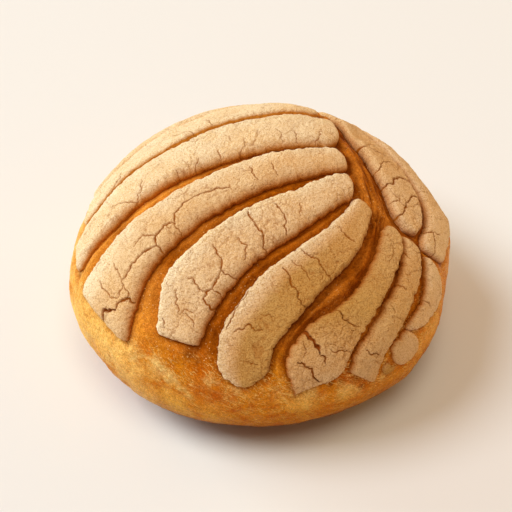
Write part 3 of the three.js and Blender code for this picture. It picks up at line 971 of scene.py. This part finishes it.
BUN_SIDES = 800
BUN_STEP = 0.4  # between rings of the mesh, down to the belly
BELLY_FROM = 74.0
BELLY_STEP = 0.5
FOOT_RINGS = (0.92, 0.75, 0.5, 0.25)  # of the underside, as shares of its edge
PUFF_SHARE = 0.5  # how far the dough rises between the ribs, as a share of the paste's depth
PUFF_MOST = 1.2
PUFF_REACH = 2.6
DOUGH_ROUGHNESS = [(0.22, 5.0, 500, 4), (0.07, 0.9, 510, 2)]
LINE_POINTS = 120  # of the curve of a groove, strand or fibre
FOOT_DARKEST = math.radians(25.0)  # where the foot is darkest, browned and with painted shade, from the front towards the right


def outline_tree():
    """All the ribs' outlines in one tree, with the outward direction at each point."""
    spots = []
    outward = []
    for number, rib in enumerate(PASTE.values(), start=1):
        first, second = rib_edges(rib, RIB_SEED_STEP * number)
        loop = np.vstack([first, second[::-1], first[:1]])
        loop = even_path(loop, round(walk(loop)[-1] / 0.4))
        area = np.sum(loop[:-1, 0] * loop[1:, 1] - loop[1:, 0] * loop[:-1, 1])
        spots.append(loop)
        outward.append(-np.sign(area) * leftwards(loop))
    spots = np.vstack(spots)
    tree = KDTree(len(spots))
    for number, (right, back) in enumerate(spots):
        tree.insert((right, back, 0.0), number)
    tree.balance()
    return tree, spots, np.vstack(outward)


TREE, OUTLINE_SPOTS, OUTLINE_OUTWARD = outline_tree()


def clear_of_ribs(flat):
    """Distance to the nearest rib's outline: positive on bare dough, negative under a rib."""
    found = np.array([TREE.find((right, back, 0.0))[1] for right, back in flat])
    offset = flat - OUTLINE_SPOTS[found]
    distance = lengths(offset)
    outside = np.sum(offset * OUTLINE_OUTWARD[found], axis=1) > 0
    return np.where(outside, distance, -distance)


def drawn_lines(flat, lines, fade):
    """The greatest of all the lines' profiles at each point, each times its second number."""
    total = np.zeros(len(flat))
    for width, size, points in lines:
        close, away, _, _, from_end = near_path(flat, smooth_curve(points, LINE_POINTS), 4 * width)
        uneven = 0.75 + 0.25 * smooth_noise(flat[close], 2.5, 530)
        profile = size * bell(away / width) * smooth_step(from_end, 0.0, fade) * uneven
        total[close] = np.maximum(total[close], profile)
    return total


def stretched_grooves(flat):
    """Height of the streaks along the STRETCHED grooves, and fields with their strength and course."""
    streaks, channel, channel_along, channel_across = np.zeros((4, len(flat)))
    for number, (reach, end_share, points) in enumerate(STRETCHED):
        path = smooth_curve(points, LINE_POINTS)
        close, away, along, side, from_end = near_path(flat, path, reach + 2.0)
        lengthwise = side_by_side(along / 9.0, away * side / 0.75)
        fade = fade_out(away, 0.6 * reach, reach) * smooth_step(from_end, 0.0, 6.0)
        streaks[close] += 0.35 * layered_noise(lengthwise, 1.0, 520 + number, layers=2) * fade
        fade *= 1.0 + (end_share - 1.0) * smooth_step(along / walk(path)[-1], 0.5, 0.75)
        nearer = fade > channel[close]
        channel[close] = np.maximum(channel[close], fade)
        channel_along[close] = np.where(nearer, along + 100.0 * number, channel_along[close])
        channel_across[close] = np.where(nearer, away * side, channel_across[close])
    return streaks, {"channel": channel, "channel_along": channel_along, "channel_across": channel_across}


def patches(flat, edge, spots):
    total = np.zeros(len(flat))
    for right, back, share, spread in spots:
        total = np.maximum(total, share * spot_bell(flat, right, back, spread * edge))
    return total


def belly_fields(flat, place):
    """Fields of the bare crust: its foot, browned and darkened with painted shade towards the front right,
    its yellower low side and its drawn-out threads.
    """
    distance = lengths(flat)
    worn = distance + 1.5 * smooth_noise(place, 11.0, 550)
    # The foot darkens: browned by baking, with painted shade, most at the front right.
    foot = 0.35 * smooth_step(worn, 68.0, 80.0) + 0.65 * smooth_step(worn, 79.0, 84.0)
    # Threads run rightwards round the belly and down it; they fade out at the back.
    turn = np.arctan2(flat[:, 0], -flat[:, 1])
    round_belly = 62.0 * turn
    threads = smooth_step(distance, 52.0, 60.0) * fade_out(np.abs(turn), 2.2, 2.8) * (1.0 - 0.6 * foot)
    return {
        "threads": 0.8 * threads,
        "belly_along": round_belly + 0.5 * distance,
        "belly_across": distance - 0.5 * round_belly,
        "low_belly": smooth_step(worn, 62.0, 76.0) * fade_out(-flat[:, 0], 30.0, 46.0),
        "foot": foot * (0.15 + 0.8 * smooth_step(np.cos(turn - FOOT_DARKEST), 0.1, 0.8)),
    }


def dough_surface(flat):
    """Lift of the dough over its plain curve, with the fields that colour it."""
    distance = lengths(flat)
    near = distance < BELLY_FROM
    clear = np.full(len(flat), 20.0)
    clear[near] = clear_of_ribs(flat[near])
    bare = smooth_step(clear, 0.0, 1.0)
    between = fade_out(distance, 56.0, 72.0)
    place = on_surface(flat, np.zeros(len(flat)))
    edge = 1.0 + 0.35 * layered_noise(place, 4.0, 540)
    fields = {name: patches(flat, edge, spots) for name, spots in CRUST_PATCHES.items()}

    # Strands run along the ribs, with the stretch of the dough.
    lengthwise = side_by_side(clear / 0.8, flat[:, 0] / 7.0, flat[:, 1] / 7.0)
    pulled = layered_noise(lengthwise, 1.0, 515, layers=2) * between
    streaks, channel_fields = stretched_grooves(flat)
    strands = drawn_lines(flat, STRANDS, 5.0)
    fibres = drawn_lines(flat, FIBRES, 3.0)
    relief = roughness(place, DOUGH_ROUGHNESS) + (0.12 * pulled + streaks + strands) * bare
    relief += 0.12 * fibres + 0.3 * fields["pale"]
    relief *= smooth_step(SECTION_LENGTH - distance, 0.0, 6.0)
    depth = dough_depth(distance)
    puff = np.minimum(PUFF_SHARE * depth, PUFF_MOST) * smooth_step(clear, 0.2, PUFF_REACH)
    lift = -depth + puff + relief * np.where(near, bare, 1.0)

    zone = fade_out(distance + 3.0 * smooth_noise(flat, 9.0, 545), 46.0, 60.0)
    out = np.maximum(clear, 0.0)
    by_side = 0.75 * np.exp(-out / 0.5) * between * (1.0 - 0.6 * fields["lit"])
    fields["groove"] = np.clip(zone + 0.6 * np.exp(-out / 1.2) * (1.0 - zone), 0.0, 1.0)
    fields["shade"] = np.maximum(fields["shade"], by_side)
    fields["pale"] = np.clip(fibres + fields["pale"], 0.0, 1.0)
    fields["strand"] = np.clip(0.5 * strands / 0.6 + 0.35 * np.clip(pulled, 0.0, 1.0), 0.0, 1.0) * bare
    return lift, {**fields, **channel_fields, **belly_fields(flat, place)}


def make_bun(material):
    inner = np.arange(BUN_STEP, BELLY_FROM, BUN_STEP)
    outer = np.linspace(BELLY_FROM, SECTION_LENGTH, round((SECTION_LENGTH - BELLY_FROM) / BELLY_STEP))
    rings = np.concatenate([inner, outer])
    turns = np.linspace(0.0, 2 * math.pi, BUN_SIDES, endpoint=False)
    ring, turn = [part.ravel() for part in np.meshgrid(rings, turns, indexing="ij")]
    flat = side_by_side(ring * np.cos(turn), ring * np.sin(turn))
    lift, fields = dough_surface(flat)
    skin = on_surface(flat, lift)
    middle = np.array([*AXIS, 0.0])
    under = np.vstack([middle + (skin[-BUN_SIDES:] - middle) * share for share in FOOT_RINGS])
    under[:, 2] = 0.0
    top = on_surface(np.full((1, 2), 1e-6), np.array([-PASTE_DEPTH]))
    points = np.vstack([skin, under, top, middle[None]])
    ring_count = len(rings) + len(FOOT_RINGS)
    last = (ring_count - 1) * BUN_SIDES
    top_number = ring_count * BUN_SIDES
    circle = np.append(np.arange(BUN_SIDES), 0)
    faces = [
        grid_faces(ring_count, BUN_SIDES, wrap=True),
        fan(top_number, circle),
        fan(top_number + 1, (last + circle)[::-1]),
    ]
    fields = {field: np.pad(values, (0, len(points) - len(values))) for field, values in fields.items()}
    make_piece("bun_dough", points, faces, material, fields, "bun")


# ---- Build ----

paste_material = make_paste_material()
make_bun(make_crust_material())
for rib_number, (rib_name, rib_data) in enumerate(PASTE.items(), start=1):
    make_rib(rib_name, rib_data, RIB_SEED_STEP * rib_number, paste_material)

# ---- Floor, light and camera ----

FLOOR_HALF = 3.0
LIGHT_DISTANCE = 4.0
LIGHT_SIZE = 2.0
CAMERA_DISTANCE = 0.3385
CAMERA_ELEVATION = 47.0
CAMERA_ANGLE = 24.0
CAMERA_AIM = Vector((AXIS[0] * MM, AXIS[1] * MM, 28 * MM))
SENSOR_WIDTH = 36.0
FRAME_WIDTH = 512
LENS_CENTRE = (261.2, 248.6)  # where the lens axis meets the frame, in pixels from its top left


def direction(azimuth, elevation):
    """A unit vector by degrees: azimuth from +X towards +Y, and elevation above the floor."""
    turn = math.radians(azimuth)
    rise = math.radians(elevation)
    return Vector((math.cos(rise) * math.cos(turn), math.cos(rise) * math.sin(turn), math.sin(rise)))


def make_floor():
    mesh = bpy.data.meshes.new("floor")
    corners = [(FLOOR_HALF * x, FLOOR_HALF * y, 0) for x, y in ((-1, -1), (1, -1), (1, 1), (-1, 1))]
    mesh.from_pydata(corners, [], [(0, 1, 2, 3)])
    nodes = Nodes("floor")
    tone = (0.805, 0.798, 0.785, 1.0)
    nodes.put(nodes.shader, {"Base Color": tone, "Roughness": 0.9, "Specular IOR Level": 0.1})
    mesh.materials.append(nodes.material)
    add_object("floor", mesh)


def make_light(name, azimuth, elevation, tint, power):
    """A large soft light."""
    lamp = bpy.data.lights.new(name, "AREA")
    lamp.shape = "DISK"
    lamp.size = LIGHT_SIZE
    lamp.energy = power
    lamp.color = tint
    light = add_object(name, lamp)
    towards = direction(azimuth, elevation)
    light.location = towards * LIGHT_DISTANCE
    light.rotation_euler = towards.to_track_quat("Z", "Y").to_euler()


def make_world(tint, strength):
    world = bpy.data.worlds.new("studio")
    world.use_nodes = True
    background = world.node_tree.nodes["Background"]
    background.inputs["Color"].default_value = (*tint, 1.0)
    background.inputs["Strength"].default_value = strength
    bpy.context.scene.world = world


def make_camera():
    data = bpy.data.cameras.new("camera")
    data.sensor_width = SENSOR_WIDTH
    data.lens = SENSOR_WIDTH / 2 / math.tan(math.radians(CAMERA_ANGLE) / 2)
    data.clip_start = 0.01
    data.clip_end = 20.0
    data.shift_x = -(LENS_CENTRE[0] - FRAME_WIDTH / 2) / FRAME_WIDTH
    data.shift_y = (LENS_CENTRE[1] - FRAME_WIDTH / 2) / FRAME_WIDTH
    camera = add_object("camera", data)
    back = direction(-90.0, CAMERA_ELEVATION)
    camera.location = CAMERA_AIM + back * CAMERA_DISTANCE
    camera.rotation_euler = back.to_track_quat("Z", "Y").to_euler()
    bpy.context.scene.camera = camera


make_floor()
make_light("key", azimuth=180.0, elevation=54.0, tint=(0.892, 0.94, 1.0), power=99.9)
make_light("top", azimuth=288.0, elevation=76.0, tint=(1.0, 0.978, 0.791), power=50.1)
make_light("window", azimuth=150.0, elevation=12.0, tint=(0.712, 0.954, 1.0), power=131.9)
make_light("warm", azimuth=30.0, elevation=12.0, tint=(1.0, 0.721, 0.257), power=43.2)
make_world(tint=(1.0, 0.533, 0.3), strength=0.3)
make_camera()
bpy.context.scene.view_settings.view_transform = "Standard"
